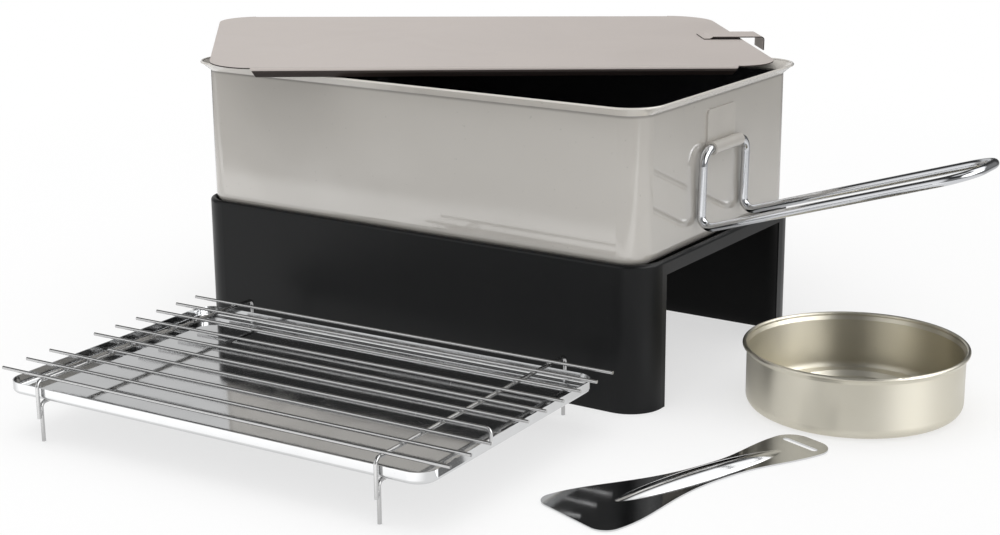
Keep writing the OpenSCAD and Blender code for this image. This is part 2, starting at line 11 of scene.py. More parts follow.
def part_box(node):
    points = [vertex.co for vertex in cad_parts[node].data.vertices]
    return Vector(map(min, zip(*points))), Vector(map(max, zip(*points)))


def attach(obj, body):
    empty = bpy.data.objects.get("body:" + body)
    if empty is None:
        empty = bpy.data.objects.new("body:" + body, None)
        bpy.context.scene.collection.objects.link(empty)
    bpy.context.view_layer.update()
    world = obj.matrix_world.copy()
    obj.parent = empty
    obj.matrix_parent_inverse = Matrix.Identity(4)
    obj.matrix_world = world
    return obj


bl_info = {
    "name": "Stovetop smoker set",
    "version": (1, 0, 0),
    "blender": (4, 5, 0),
    "location": "View3D > Sidebar > Smoker",
    "description": "Finishes, weld detail, stage, lights and camera for a stovetop smoker set",
    "category": "Object",
}

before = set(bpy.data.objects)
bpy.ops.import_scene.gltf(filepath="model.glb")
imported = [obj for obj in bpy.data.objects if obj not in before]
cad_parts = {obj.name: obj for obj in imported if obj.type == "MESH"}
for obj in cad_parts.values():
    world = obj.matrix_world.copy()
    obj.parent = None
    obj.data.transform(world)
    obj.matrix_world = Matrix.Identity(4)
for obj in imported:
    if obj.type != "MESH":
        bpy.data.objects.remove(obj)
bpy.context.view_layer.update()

MM = 0.001

RODS = [f"rack_rod_{i}" for i in range(1, 11)]
LEG_FRAMES = ["rack_leg_frame_left", "rack_leg_frame_right"]
TRAY_SUPPORTS = ["tray_support_left", "tray_support_right"]

# The lid's turn on the box in degrees, then the reach from its middle to the fold of each lip and
# to where its tab starts, and the width of the painted shade line along the fold
LID_TURN = 40.0
LID_FOLD = 139.2 * MM
LID_TAB = 200 * MM
FOLD_SHADE_WIDTH = 0.7 * MM

# Soft edges on the box, as depths below the top of its rim: the end of the painted highlight on the
# flare, the two sides of the painted shade in the crease under it, and the start of the dark inside
FLARE_HIGHLIGHT_END = (7.4 * MM, 6.6 * MM)
CREASE_SHADE_LOW_SIDE = (9.6 * MM, 7.9 * MM)
CREASE_SHADE_HIGH_SIDE = (6.9 * MM, 7.4 * MM)
DARK_START = (8.0 * MM, 8.6 * MM)

# The rack's turn on the table in degrees, its wires and the height of the welds on its legs
RACK_TURN = 2.2
ROD = 2.4 * MM
FRAME_WIRE = 2.8 * MM
LEG_WELD_Z = 20.5 * MM


def middle(node):
    """The middle of a CAD node's box."""
    low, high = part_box(node)
    return (Vector(low) + Vector(high)) / 2


# ---------------------------------------------------------------- settings


def colour_property(name, description, default):
    """A colour that the panel shows as a swatch."""
    return FloatVectorProperty(name=name, description=description, default=default, size=3,
                               min=0.0, max=1.0, subtype="COLOR")


def share_property(name, description, default):
    """A share from 0 to 1 that the panel shows as a slider."""
    return FloatProperty(name=name, description=description, default=default, min=0.0, max=1.0,
                         subtype="FACTOR")


class SmokerCoats(bpy.types.PropertyGroup):
    """Colours and gloss of the painted and enamelled pieces"""

    stand: colour_property("Stand", "Powder coat of the stand", (0.0062, 0.0066, 0.0071))
    enamel: colour_property("Enamel", "Enamel on the outside of the box", (0.540, 0.514, 0.474))
    inside: colour_property("Inside", "Dark enamel on the inside of the box",
                            (0.0340, 0.0340, 0.0370))
    lid: colour_property("Lid", "Matt coat of the lid", (0.520, 0.472, 0.443))
    underside: colour_property("Underside", "Dark coat under the lid and on its edges",
                               (0.034, 0.024, 0.021))
    stand_roughness: share_property("Stand roughness", "Roughness of the powder coat", 0.36)
    enamel_roughness: share_property("Enamel roughness", "Roughness of the enamel", 0.14)
    lid_roughness: share_property("Lid roughness", "Roughness of the lid's coat", 0.55)


class SmokerMetals(bpy.types.PropertyGroup):
    """Colours and gloss of the bare metal pieces"""

    chrome: colour_property("Chrome", "Plating of the wire handle", (0.62, 0.63, 0.65))
    wire: colour_property("Rack wire", "Bare wire of the rack", (0.52, 0.52, 0.52))
    polished: colour_property("Polished sheet", "Sheet of the tray and the lifter",
                              (0.66, 0.665, 0.67))
    tinplate: colour_property("Tinplate", "Sheet of the burner tin", (0.675, 0.649, 0.568))


class SmokerSizes(bpy.types.PropertyGroup):
    """Sizes of the small detail"""

    weld: FloatProperty(name="Weld", description="Reach of the weld where two wires cross",
                        default=1.75 * MM, min=1.0 * MM, max=2.5 * MM, unit="LENGTH")


class SmokerStage(bpy.types.PropertyGroup):
    """Floor, light and camera"""

    floor: colour_property("Floor", "Colour of the floor", (0.94, 0.94, 0.94))
    sky: FloatProperty(name="Sky", description="Strength of the surrounding light",
                       default=0.86, min=0.0, max=3.0)
    room: FloatProperty(name="Room", description="Brightness of the room's far side in reflections",
                        default=0.05, min=0.0, max=1.0)
    key: FloatProperty(name="Key", description="Power of the large overhead light in watts",
                       default=9.0, min=0.0, max=500.0)
    lens: FloatProperty(name="Lens", description="Focal length of the camera in millimetres",
                        default=66.44, min=20.0, max=200.0)


# ---------------------------------------------------------------- node helpers


class Sheet:
    """Places and joins nodes in one node tree."""

    def __init__(self, tree):
        self.tree = tree

    def node(self, kind, inputs=None, **settings):
        """A new node with its settings made and its inputs fed."""
        made = self.tree.nodes.new(kind)
        for key, value in settings.items():
            setattr(made, key, value)
        for key, value in (inputs or {}).items():
            self.feed(made.inputs[key], value)
        return made

    def feed(self, socket, value):
        """Joins another node's output to a socket, or sets a constant on it."""
        if isinstance(value, bpy.types.NodeSocket):
            self.tree.links.new(value, socket)
        elif hasattr(socket.default_value, "__len__") and len(socket.default_value) == 4:
            socket.default_value = (*tuple(value)[:3], 1.0)
        else:
            socket.default_value = value

    def math(self, operation, a, b=0.0, clamp=False):
        made = self.node("ShaderNodeMath", operation=operation, use_clamp=clamp)
        self.feed(made.inputs[0], a)
        self.feed(made.inputs[1], b)
        return made.outputs[0]

    def vector(self, operation, a, b=None):
        made = self.node("ShaderNodeVectorMath", operation=operation)
        self.feed(made.inputs[0], a)
        if b is not None:
            self.feed(made.inputs[1], b)
        return made.outputs["Value" if operation in ("DOT_PRODUCT", "LENGTH") else "Vector"]

    def spread(self, value, low, high, new_low=0.0, new_high=1.0, smooth=False):
        """Stretches a value from one range to another and stops at its ends."""
        made = self.node("ShaderNodeMapRange",
                         interpolation_type="SMOOTHSTEP" if smooth else "LINEAR")
        for key, item in (("Value", value), ("From Min", low), ("From Max", high),
                          ("To Min", new_low), ("To Max", new_high)):
            self.feed(made.inputs[key], item)
        return made.outputs["Result"]

    def noise(self, place, scale, detail=2.0, roughness=0.5, distortion=0.0):
        made = self.node("ShaderNodeTexNoise", {
            "Vector": place, "Scale": scale, "Detail": detail, "Roughness": roughness,
            "Distortion": distortion})
        return made.outputs["Fac"]

    def mix(self, mask, a, b):
        made = self.node("ShaderNodeMix", data_type="RGBA")
        self.feed(made.inputs["Factor"], mask)
        self.feed(made.inputs[6], a)
        self.feed(made.inputs[7], b)
        return made.outputs[2]

    def object_place(self):
        return self.node("ShaderNodeTexCoord").outputs["Object"]

    def split(self, vector):
        """A vector's three parts, by the names X, Y and Z."""
        return self.node("ShaderNodeSeparateXYZ", {"Vector": vector}).outputs

    def bump(self, height, distance, strength=1.0, normal=None):
        """A normal shifted by a height, on top of another shifted normal where one is given."""
        made = self.node("ShaderNodeBump", {"Height": height, "Distance": distance,
                                            "Strength": strength})
        if normal is not None:
            self.feed(made.inputs["Normal"], normal)
        return made.outputs["Normal"]

    def group(self, tree, inputs=None):
        made = self.node("ShaderNodeGroup")
        made.node_tree = tree
        for key, value in (inputs or {}).items():
            self.feed(made.inputs[key], value)
        return made.outputs


def shader_group(name, inputs, outputs):
    """A new shader node group, its sheet and its two end nodes."""
    tree = bpy.data.node_groups.new(name, "ShaderNodeTree")
    for socket, kind, default in inputs:
        made = tree.interface.new_socket(socket, in_out="INPUT", socket_type=kind)
        if default is not None:
            made.default_value = default
    for socket, kind in outputs:
        tree.interface.new_socket(socket, in_out="OUTPUT", socket_type=kind)
    sheet = Sheet(tree)
    return tree, sheet, sheet.node("NodeGroupInput").outputs, sheet.node("NodeGroupOutput").inputs


def coat_grain_group():
    """Fine orange peel, faint blotches and sparse pinholes of a sprayed or fired coat."""
    tree, s, given, out = shader_group(
        "Coat grain",
        [("Grain Size", "NodeSocketFloat", 900.0), ("Peel", "NodeSocketFloat", 0.5),
         ("Blotch Size", "NodeSocketFloat", 14.0)],
        [("Height", "NodeSocketFloat"), ("Blotch", "NodeSocketFloat"),
         ("Specks", "NodeSocketFloat")])
    place = s.object_place()
    fine = s.noise(place, given["Grain Size"], 3.0, 0.6)
    peel = s.noise(place, s.math("MULTIPLY", given["Grain Size"], 0.22), 2.0, 0.5)
    s.feed(out["Height"], s.math("ADD", fine, s.math("MULTIPLY", peel, given["Peel"])))
    s.feed(out["Blotch"], s.noise(place, given["Blotch Size"], 4.0, 0.55))
    pits = s.noise(place, s.math("MULTIPLY", given["Grain Size"], 0.45), 1.0, 0.4)
    s.feed(out["Specks"], s.spread(pits, 0.74, 0.80, smooth=True))
    return tree


def sheet_wave_group():
    """Slow waves and small dings of thin sheet metal, seen in its reflections."""
    tree, s, given, out = shader_group(
        "Sheet waves",
        [("Wave Size", "NodeSocketFloat", 9.0), ("Ding Size", "NodeSocketFloat", 40.0),
         ("Dings", "NodeSocketFloat", 0.2)],
        [("Height", "NodeSocketFloat")])
    place = s.object_place()
    slow = s.noise(place, given["Wave Size"], 1.0, 0.4)
    dings = s.noise(place, given["Ding Size"], 0.0, 0.4)
    s.feed(out["Height"], s.math("ADD", slow, s.math("MULTIPLY", dings, given["Dings"])))
    return tree


def handling_group():
    """Smudges, hairline scratches and dust on a handled surface."""
    tree, s, given, out = shader_group(
        "Handling marks",
        [("Smudge Size", "NodeSocketFloat", 18.0), ("Scratch Size", "NodeSocketFloat", 60.0),
         ("Stretch", "NodeSocketVector", (1.0, 14.0, 1.0))],
        [("Smudge", "NodeSocketFloat"), ("Scratches", "NodeSocketFloat"),
         ("Dust", "NodeSocketFloat")])
    place = s.object_place()
    smear = s.noise(place, given["Smudge Size"], 5.0, 0.62, 0.8)
    s.feed(out["Smudge"], s.spread(smear, 0.38, 0.68, smooth=True))
    along = s.vector("MULTIPLY", place, given["Stretch"])
    hair = s.noise(along, given["Scratch Size"], 6.0, 0.75, 0.3)
    s.feed(out["Scratches"], s.spread(hair, 0.60, 0.72, smooth=True))
    s.feed(out["Dust"], s.spread(s.noise(place, 520.0, 2.0, 0.6), 0.70, 0.76, smooth=True))
    return tree


GROUPS = {}


def shared(name):
    """One of the shared effects, built once."""
    makers = {"grain": coat_grain_group, "waves": sheet_wave_group, "handling": handling_group}
    if name not in GROUPS:
        GROUPS[name] = makers[name]()
    return GROUPS[name]


def new_material(name):
    """A new material and the sheet of its empty node tree."""
    material = bpy.data.materials.new(name)
    material.use_nodes = True
    material.node_tree.nodes.clear()
    return material, Sheet(material.node_tree)


def principled(name, constants=None):
    """A new material with one Principled shader, its sheet and the shader's inputs."""
    material, sheet = new_material(name)
    shader = sheet.node("ShaderNodeBsdfPrincipled", constants)
    sheet.node("ShaderNodeOutputMaterial", {"Surface": shader.outputs["BSDF"]})
    return material, sheet, shader.inputs


def wear(node, material):
    """Gives a CAD node one material."""
    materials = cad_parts[node].data.materials
    materials.clear()
    materials.append(material)


# ---------------------------------------------------------------- finishes


def powder_coat(coats):
    """Satin black powder coat: fine texture, faint blotches and light rub marks."""
    material, s, shader = principled("Black powder coat", {"Specular IOR Level": 0.22})
    grain = s.group(shared("grain"), {"Grain Size": 1500.0, "Peel": 0.8, "Blotch Size": 9.0})
    marks = s.group(shared("handling"), {"Smudge Size": 7.0, "Scratch Size": 26.0,
                                         "Stretch": (3.0, 3.0, 16.0)})
    base = Vector(coats.stand)
    tone = s.mix(grain["Blotch"], base * 0.85, base * 1.2)
    tone = s.mix(s.math("MULTIPLY", marks["Dust"], 0.35), tone, base * 4.0)
    s.feed(shader["Base Color"], tone)
    rough = s.spread(grain["Blotch"], 0.3, 0.7, coats.stand_roughness - 0.04,
                     coats.stand_roughness + 0.05)
    rubbed = s.math("MULTIPLY", marks["Smudge"], 0.04)
    s.feed(shader["Roughness"], s.math("SUBTRACT", rough, rubbed))
    s.feed(shader["Normal"], s.bump(grain["Height"], 0.06 * MM, 0.5))
    return material


def enamel(coats):
    """Glossy enamel: grey on the outside and the rim, near black inside the box below the rim, with
    a painted highlight on the rim's flare and painted shade in the crease under it.
    """
    material, s, shader = principled(
        "Grey and black enamel", {"Coat Weight": 1.0, "Coat Roughness": 0.035, "Coat IOR": 1.75})
    low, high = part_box("smoker_box")
    coord = s.node("ShaderNodeTexCoord")
    # A surface faces the inside where its normal points back to the middle or up from the bottom
    place = s.vector("SUBTRACT", coord.outputs["Object"], tuple(middle("smoker_box")))
    outward = s.vector("MULTIPLY", place, (2 / (high[0] - low[0]), 2 / (high[1] - low[1]), 0.0))
    outward = s.vector("ADD", outward, (0.0, 0.0, -1.0))
    turned = s.vector("DOT_PRODUCT", coord.outputs["Normal"], outward)
    depth = s.math("SUBTRACT", high[2], s.split(coord.outputs["Object"])["Z"])
    under_rim = s.spread(depth, *DARK_START)
    inside = s.math("MULTIPLY", s.spread(turned, -0.02, 0.02, 1.0, 0.0), under_rim)
    grain = s.group(shared("grain"), {"Grain Size": 700.0, "Peel": 1.2, "Blotch Size": 11.0})
    marks = s.group(shared("handling"), {"Smudge Size": 10.0, "Scratch Size": 30.0,
                                         "Stretch": (1.0, 1.0, 9.0)})
    base = Vector(coats.enamel)
    tone = s.mix(grain["Blotch"], base * 0.965, base * 1.03)
    # Painted highlight on the flare of the rim, and painted shade in the crease under it
    tone = s.mix(s.spread(depth, *FLARE_HIGHLIGHT_END, smooth=True), tone, base * 1.30)
    crease_shade = s.math("MULTIPLY", s.spread(depth, *CREASE_SHADE_LOW_SIDE, smooth=True),
                    s.spread(depth, *CREASE_SHADE_HIGH_SIDE, smooth=True))
    tone = s.mix(s.math("MULTIPLY", crease_shade, 0.55), tone, base * 0.35)
    tone = s.mix(s.math("MULTIPLY", grain["Specks"], 0.25), tone, base * 0.55)
    s.feed(shader["Base Color"], s.mix(inside, tone, Vector(coats.inside)))
    s.feed(shader["Roughness"], s.spread(marks["Smudge"], 0.0, 1.0, coats.enamel_roughness,
                                         coats.enamel_roughness + 0.05))
    peel = s.bump(grain["Height"], 0.03 * MM, 0.6)
    waves = s.group(shared("waves"), {"Wave Size": 8.0, "Ding Size": 30.0, "Dings": 0.12})
    s.feed(shader["Normal"], s.bump(waves["Height"], 8.0 * MM, 0.9, peel))
    return material


def strap_paint(coats):
    """Grey enamel of the welded strap, worn a little along the sleeve."""
    material, s, shader = principled("Grey strap enamel",
                                     {"Coat Weight": 0.5, "Coat Roughness": 0.06})
    grain = s.group(shared("grain"), {"Grain Size": 800.0, "Peel": 1.0, "Blotch Size": 60.0})
    base = Vector(coats.enamel)
    s.feed(shader["Base Color"], s.mix(grain["Blotch"], base * 0.95, base * 1.05))
    s.feed(shader["Roughness"], s.spread(grain["Blotch"], 0.3, 0.7, 0.16, 0.24))
    s.feed(shader["Normal"], s.bump(grain["Height"], 0.05 * MM, 0.6))
    return material


def lid_coat(coats):
    """Matt taupe coat over a dark one that shows underneath, on cut edges and under the lips, with
    a painted shade line along the fold of each lip.
    """
    material, s, shader = principled("Taupe matt coat", {"Specular IOR Level": 0.45})
    coord = s.node("ShaderNodeTexCoord")
    normal = coord.outputs["Normal"]
    place = s.vector("SUBTRACT", coord.outputs["Object"], tuple(middle("lid")))
    turn = math.radians(LID_TURN)
    along = (math.cos(turn), math.sin(turn), 0.0)
    across = (-math.sin(turn), math.cos(turn), 0.0)
    # The light coat is on what faces up, and on the side of the tab that faces the lid's middle
    top = s.spread(s.split(normal)["Z"], 0.12, 0.22)
    tab_back = s.math("MULTIPLY", s.vector("DOT_PRODUCT", place, along),
                      s.vector("DOT_PRODUCT", normal, along))
    light = s.math("MAXIMUM", top, s.spread(tab_back, -LID_TAB, -LID_TAB - 10 * MM))
    side = s.math("ABSOLUTE", s.vector("DOT_PRODUCT", place, across))
    off_fold = s.math("ABSOLUTE", s.math("SUBTRACT", side, LID_FOLD))
    fold_shade = s.math("SUBTRACT", 1.0, s.math("MULTIPLY", off_fold, 1 / FOLD_SHADE_WIDTH, clamp=True))
    grain = s.group(shared("grain"), {"Grain Size": 1300.0, "Peel": 0.5, "Blotch Size": 6.0})
    marks = s.group(shared("handling"), {"Smudge Size": 8.0, "Scratch Size": 22.0,
                                         "Stretch": (1.0, 12.0, 1.0)})
    base = Vector(coats.lid)
    tone = s.mix(grain["Blotch"], base * 0.96, base * 1.04)
    tone = s.mix(s.math("MULTIPLY", marks["Scratches"], 0.06), tone, base * 1.25)
    tone = s.mix(s.math("MULTIPLY", grain["Specks"], 0.2), tone, base * 0.6)
    # Painted shade: a dark line along the fold of each lip
    tone = s.mix(s.math("MULTIPLY", fold_shade, 0.55), tone, base * 0.45)
    s.feed(shader["Base Color"], s.mix(light, Vector(coats.underside), tone))
    s.feed(shader["Roughness"], s.spread(marks["Smudge"], 0.0, 1.0, coats.lid_roughness,
                                         coats.lid_roughness - 0.08))
    s.feed(shader["Normal"], s.bump(grain["Height"], 0.05 * MM, 0.5))
    return material


def bright_metal(name, colour, roughness, stretch, wave_depth=0.0, smudge=0.08, wave_size=9.0,
                 dings=0.2):
    """Polished or plated metal with smudges, hairlines and slow waves."""
    material, s, shader = principled(name, {"Metallic": 1.0})
    marks = s.group(shared("handling"), {"Smudge Size": 22.0, "Scratch Size": 70.0,
                                         "Stretch": stretch})
    base = Vector(colour)
    tone = s.mix(s.math("MULTIPLY", marks["Smudge"], 0.35), base, base * 0.9)
    tone = s.mix(s.math("MULTIPLY", marks["Dust"], 0.25), tone, base * 0.7)
    s.feed(shader["Base Color"], tone)
    worn = s.math("ADD", s.math("MULTIPLY", marks["Smudge"], smudge),
                  s.math("MULTIPLY", marks["Scratches"], smudge))
    s.feed(shader["Roughness"], s.math("ADD", worn, roughness))
    waves = s.group(shared("waves"), {"Wave Size": wave_size, "Ding Size": wave_size * 5,
                                      "Dings": dings})
    hair = s.bump(marks["Scratches"], 0.004 * MM, 0.4)
    s.feed(shader["Normal"], s.bump(waves["Height"], wave_depth, 0.7, hair))
    return material


def tinplate(metals):
    """Soft warm tinplate with spangle, drawn rings and blotches."""
    material, s, shader = principled(
        "Tinplate", {"Metallic": 1.0, "Anisotropic": 0.75, "Anisotropic Rotation": 0.25})
    round_wall = s.node("ShaderNodeTangent", direction_type="RADIAL", axis="Z")
    s.feed(shader["Tangent"], round_wall.outputs["Tangent"])
    grain = s.group(shared("grain"), {"Grain Size": 420.0, "Peel": 0.6, "Blotch Size": 16.0})
    marks = s.group(shared("handling"), {"Smudge Size": 12.0, "Scratch Size": 34.0,
                                         "Stretch": (9.0, 9.0, 0.6)})
    base = Vector(metals.tinplate)
    warm = Vector((base.x * 0.97, base.y * 0.95, base.z * 0.90))
    tone = s.mix(grain["Blotch"], base, warm)
    tone = s.mix(s.math("MULTIPLY", grain["Specks"], 0.12), tone, base * 0.72)
    tone = s.mix(s.math("MULTIPLY", marks["Scratches"], 0.10), tone, base * 0.8)
    s.feed(shader["Base Color"], tone)
    rough = s.spread(grain["Blotch"], 0.3, 0.7, 0.36, 0.42)
    s.feed(shader["Roughness"], s.math("ADD", rough, s.math("MULTIPLY", marks["Smudge"], 0.03)))
    waves = s.group(shared("waves"), {"Wave Size": 9.0, "Ding Size": 40.0, "Dings": 0.10})
    fine = s.bump(grain["Height"], 0.02 * MM, 0.5)
    s.feed(shader["Normal"], s.bump(waves["Height"], 1.2 * MM, 0.6, fine))
    return material


# ---------------------------------------------------------------- pieces


def new_piece(name, mesh, body, material):
    """Links a new mesh as a piece that rides on a body."""
    piece = bpy.data.objects.new(name, mesh)
    bpy.context.scene.collection.objects.link(piece)
    piece.data.materials.append(material)
    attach(piece, body)
    return piece


# Reach of the two kinds of weld along X, Y and Z, as shares of the weld's size
CROSSING_WELD = (1.0, 1.0, 0.55)
LEG_WELD = (0.85, 0.75, 1.5)

# Unevenness of a weld as a share of its size, and how many lumps fit in a metre
WELD_LUMP = 0.16
WELD_LUMPS = 900


def weld_places():
    """Where the rack's wires are welded, and the shape of each weld."""
    turn = math.radians(RACK_TURN)
    across = Vector((-math.sin(turn), math.cos(turn), 0.0))
    crossing_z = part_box(RODS[0])[1][2] - ROD
    for leg_frame in LEG_FRAMES:
        bar = middle(leg_frame)
        for rod in RODS:
            place = bar + across * across.dot(middle(rod) - bar)
            place.z = crossing_z
            yield place, CROSSING_WELD
        low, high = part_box(leg_frame)
        half = (high[1] - low[1]) / 2 - FRAME_WIRE
        for side in (-1.0, 1.0):
            place = bar + across * (side * half / across.y)
            place.z = LEG_WELD_Z
            yield place, LEG_WELD


def weld_mesh(size):
    """Small uneven nuggets of weld at every place where wires are joined."""
    form = bmesh.new()
    for place, stretch in weld_places():
        nugget = bmesh.ops.create_icosphere(form, subdivisions=3, radius=size)["verts"]
        for corner in nugget:
            lump = 1 + WELD_LUMP * noise.noise((corner.co + place) * WELD_LUMPS)
            corner.co = Vector(a * b for a, b in zip(corner.co * lump, stretch)) + place
    for face in form.faces:
        face.smooth = True
    mesh = bpy.data.meshes.new("rack_welds")
    form.to_mesh(mesh)
    form.free()
    return mesh


class SMOKER_OT_stand(bpy.types.Operator):
    """Coats the stand"""

    bl_idname = "smoker.stand"
    bl_label = "Stand"

    def execute(self, context):
        wear("stand", powder_coat(context.scene.smoker_coats))
        return {"FINISHED"}


class SMOKER_OT_box(bpy.types.Operator):
    """Enamels the box and its strap"""

    bl_idname = "smoker.box"
    bl_label = "Box"

    def execute(self, context):
        coats = context.scene.smoker_coats
        wear("smoker_box", enamel(coats))
        wear("handle_strap", strap_paint(coats))
        return {"FINISHED"}


class SMOKER_OT_handle(bpy.types.Operator):
    """Plates the wire handle"""

    bl_idname = "smoker.handle"
    bl_label = "Wire handle"

    def execute(self, context):
        metals = context.scene.smoker_metals
        wear("wire_handle", bright_metal("Chrome plate", metals.chrome, 0.07, (14.0, 1.0, 1.0)))
        return {"FINISHED"}


class SMOKER_OT_lid(bpy.types.Operator):
    """Coats the lid"""

    bl_idname = "smoker.lid"
    bl_label = "Lid"

    def execute(self, context):
        wear("lid", lid_coat(context.scene.smoker_coats))
        return {"FINISHED"}


class SMOKER_OT_rack(bpy.types.Operator):
    """Finishes the rack's wires and adds their welds"""

    bl_idname = "smoker.rack"
    bl_label = "Rack"

    def execute(self, context):
        wire = context.scene.smoker_metals.wire
        material = bright_metal("Rack wire", wire, 0.18, (14.0, 1.0, 1.0))
        for node in RODS + LEG_FRAMES + TRAY_SUPPORTS:
            wear(node, material)
        weld = bright_metal("Weld", [0.8 * part for part in wire], 0.30, (1.0, 1.0, 1.0))
        new_piece("rack_welds", weld_mesh(context.scene.smoker_sizes.weld), "rack",
                  weld)
        return {"FINISHED"}


class SMOKER_OT_tray(bpy.types.Operator):
    """Polishes the drip tray"""

    bl_idname = "smoker.tray"
    bl_label = "Drip tray"

    def execute(self, context):
        metals = context.scene.smoker_metals
        wear("drip_tray", bright_metal("Polished tray", metals.polished, 0.05, (1.0, 16.0, 1.0),
                                       wave_depth=0.6 * MM, smudge=0.05, wave_size=6.0, dings=0.06))
        return {"FINISHED"}


class SMOKER_OT_tin(bpy.types.Operator):
    """Finishes the burner tin"""

    bl_idname = "smoker.tin"
    bl_label = "Burner tin"

    def execute(self, context):
        wear("burner_tin", tinplate(context.scene.smoker_metals))
        return {"FINISHED"}


class SMOKER_OT_lifter(bpy.types.Operator):
    """Polishes the lifter"""

    bl_idname = "smoker.lifter"
    bl_label = "Lifter"

    def execute(self, context):
        metals = context.scene.smoker_metals
        wear("lifter", bright_metal("Polished lifter", metals.polished, 0.05, (12.0, 1.0, 1.0),
                                    wave_depth=0.4 * MM, smudge=0.05, wave_size=12.0, dings=0.1))
        return {"FINISHED"}


# ---------------------------------------------------------------- stage

WHITE = (1.0, 1.0, 1.0)

FLOOR_RADIUS = 6.0
# The floor lies a little under the table's level, so that nothing that stands on it shares a face
FLOOR_DROP = 0.4 * MM

# Changes over the table, each with a start, an end and its values before and after them.
# The first two go by the distance from the middle, the others by Y, from back to front.
TABLE_WHITE = (0.50, 1.3, 0.62, 1.0)
GLOW_OUT = (0.55, 1.4, 1.0, 0.32)
GLOW_BY_DEPTH = (
    (0.26, 0.36, 1.0, 0.5),
    (-0.57, -0.50, 0.32, 1.0),
    (-0.44, -0.34, 2.1, 1.0),
)

# Glow left in reflections of the table under the stand, a painted shadow, and the soft edge of that
# shadow
STAND_SHADOW_GLOW = 0.4
STAND_SHADOW_EDGE = 20 * MM

# Changes by the height of a direction, in the same form as the table's
SKY_BY_HEIGHT = (-0.1, 0.9, 0.92, 1.06)
BACKDROP_BY_HEIGHT = (0.34, 0.60, 0.64, 0.0)
WALL_BY_HEIGHT = (0.34, 0.60, 0.20, 0.0)
GLOW_BY_HEIGHT = (0.02, -0.06, 0.0, 0.32)

# Directions of the backdrop and of the gap in the low wall, with the start and end of the edge
BACKDROP = ((-0.87, 0.50, 0.0), 0.80, 0.90)
WALL_GAP = ((-0.30, 0.95, 0.0), 0.80, 0.93)

# Soft panels in the room's reflections: direction, start and end of the soft edge, strength
PANELS = (
    ((-0.45, -0.75, 0.35), 0.73, 0.95, 0.95),
    ((0.95, -0.10, 0.45), 0.86, 0.93, 2.6),
    ((0.25, 0.63, 0.73), 0.90, 0.97, 1.5),
    ((0.72, 0.42, 0.55), 0.88, 0.97, 2.4),
    ((0.10, 0.00, 1.00), 0.945, 0.985, 0.8),
)

# Place and size of the overhead light, which points at the middle of the table
OVERHEAD = Vector((-0.3, -0.2, 1.9))
OVERHEAD_SIZE = (1.8, 1.4)

# The camera's place from the middle of the stand, its turn, fall and roll in degrees, the width of
# its sensor in millimetres and the nearest and furthest that it sees
CAMERA = Vector((814.25, -1206.78, 450.51)) * MM
CAMERA_ANGLES = (33.86, 15.29, -0.43)
SENSOR = 36.0
CAMERA_SEES = (0.05, 50.0)


def painted_stand_shadow(s, place):
    """1 on the table under the stand, 0 away from it; softest at the stand's open ends; the mask of
    a painted shadow in the floor's glow.
    """
    low, high = (Vector(corner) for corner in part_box("stand"))
    half = (high - low) / 2
    off = s.split(s.vector("ABSOLUTE", s.vector("SUBTRACT", place, tuple((low + high) / 2))))
    return s.math("MULTIPLY",
                  s.spread(off["X"], half.x - STAND_SHADOW_EDGE, half.x + 2 * STAND_SHADOW_EDGE, 1.0, 0.0,
                           smooth=True),
                  s.spread(off["Y"], half.y - STAND_SHADOW_EDGE, half.y, 1.0, 0.0, smooth=True))


def add_floor(stage):
    """A pale floor that fades into the white surroundings."""
    mesh = bpy.data.meshes.new("floor")
    form = bmesh.new()
    bmesh.ops.create_circle(form, cap_ends=True, cap_tris=False, segments=64,
                            radius=FLOOR_RADIUS)
    form.to_mesh(mesh)
    form.free()
    floor = bpy.data.objects.new("floor", mesh)
    floor.location = (0.0, 0.0, -FLOOR_DROP)
    bpy.context.scene.collection.objects.link(floor)
    material, s = new_material("Pale floor")
    soft = s.node("ShaderNodeBsdfDiffuse", {"Color": tuple(stage.floor)})
    path = s.node("ShaderNodeLightPath")
    camera = path.outputs["Is Camera Ray"]
    seen = s.math("MAXIMUM", camera, path.outputs["Is Glossy Ray"])
    seen = s.math("MAXIMUM", seen, path.outputs["Is Transmission Ray"])
    place = s.object_place()
    reach = s.vector("LENGTH", place)
    # Reflections see the white table fade into the dimmer room
    dimmed = s.math("MULTIPLY", s.spread(reach, *GLOW_OUT, smooth=True),
                    s.math("SUBTRACT", 1.0, camera))
    for zone in GLOW_BY_DEPTH:
        dimmed = s.math("MULTIPLY", dimmed, s.spread(s.split(place)["Y"], *zone, smooth=True))
    # Painted shadow: the glow that reflections see is dimmed under the stand
    dimmed = s.math("MULTIPLY", dimmed, s.spread(painted_stand_shadow(s, place), 0.0, 1.0, 1.0, STAND_SHADOW_GLOW))
    glow = s.node("ShaderNodeEmission", {"Color": WHITE, "Strength": s.math("ADD", camera, dimmed)})
    white = s.math("MULTIPLY", seen, s.spread(reach, *TABLE_WHITE, smooth=True))
    mixed = s.node("ShaderNodeMixShader", {0: white, 1: soft.outputs["BSDF"],
                                           2: glow.outputs["Emission"]})
    s.node("ShaderNodeOutputMaterial", {"Surface": mixed.outputs["Shader"]})
    floor.data.materials.append(material)


def facing(s, way, direction, low, high):
    """1 where the way points along a direction, 0 away from it, with a soft edge."""
    direction = tuple(Vector(direction).normalized())
    return s.spread(s.vector("DOT_PRODUCT", way, direction), low, high, smooth=True)


